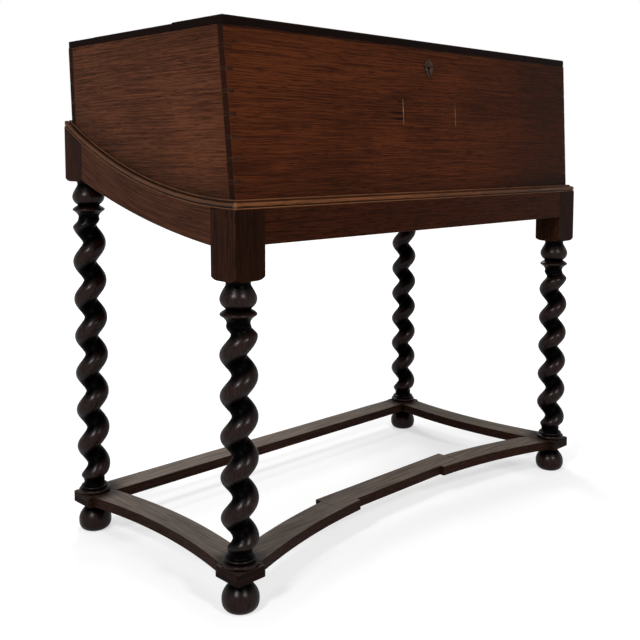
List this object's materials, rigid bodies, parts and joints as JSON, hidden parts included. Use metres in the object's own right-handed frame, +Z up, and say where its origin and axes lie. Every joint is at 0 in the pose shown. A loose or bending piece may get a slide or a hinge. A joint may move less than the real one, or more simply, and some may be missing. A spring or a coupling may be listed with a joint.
{
  "type": "box on stand",
  "caption": "Oak box with a leaning front, a hinged lid and a lock, on a joined stand with twist-turned legs, flat stretchers and bun feet, for keeping books and papers.",
  "frame": {"origin": "on the floor, in the middle of the stand", "axes": "+X to the right along the front, +Y from the front to the back, +Z up"},
  "size_m": [0.9114, 0.4668, 0.8676],
  "materials": {
    "box_oak": "waxed",
    "stand_oak": "polished",
    "bottom_oak": "dry",
    "iron": "dark",
    "escutcheon": "dark"
  },
  "bodies": {
    "stand": {"bottom_board_1": "bottom_oak", "bottom_board_2": "bottom_oak", "bottom_board_3": "bottom_oak", "bottom_board_4": "bottom_oak", "bottom_board_5": "bottom_oak", "bottom_board_6": "bottom_oak", "escutcheon": "escutcheon", "feet": "stand_oak", "front_moulding": "stand_oak", "front_panel": "box_oak", "front_rail": "stand_oak", "front_stretcher_left_arm": "stand_oak", "front_stretcher_middle": "stand_oak", "front_stretcher_right_arm": "stand_oak", "left_end_moulding": "stand_oak", "left_end_panel": "box_oak", "left_end_rail": "stand_oak", "left_end_stretcher": "stand_oak", "left_hinge_strip_leaf": "iron", "leg_front_left": "stand_oak", "leg_front_right": "stand_oak", "leg_rear_left": "stand_oak", "leg_rear_right": "stand_oak", "lock_cap": "iron", "lock_case": "iron", "rear_moulding": "stand_oak", "rear_panel": "box_oak", "rear_rail": "stand_oak", "rear_stretcher": "stand_oak", "right_end_moulding": "stand_oak", "right_end_panel": "box_oak", "right_end_rail": "stand_oak", "right_end_stretcher": "stand_oak", "right_hinge_strip_leaf": "iron", "top_strip": "box_oak"},
    "lid": {"lid_front_board": "box_oak", "lid_rear_board": "box_oak", "left_hinge_lid_leaf": "iron", "right_hinge_lid_leaf": "iron", "link_plate": "iron"},
    "lock_bolt": {"lock_bolt": "iron"}
  },
  "joints": [
    {"name": "lid_hinge", "type": "hinge", "parent": "stand", "child": "lid", "pos_m": [0, 0.1389, 0.8646], "axis": [-1, 0, 0], "range_deg": [0, 180]},
    {"name": "lock_bolt_slide", "type": "slide", "parent": "stand", "child": "lock_bolt", "axis": [1, 0, 0], "range_m": [0, 0.007]}
  ]
}
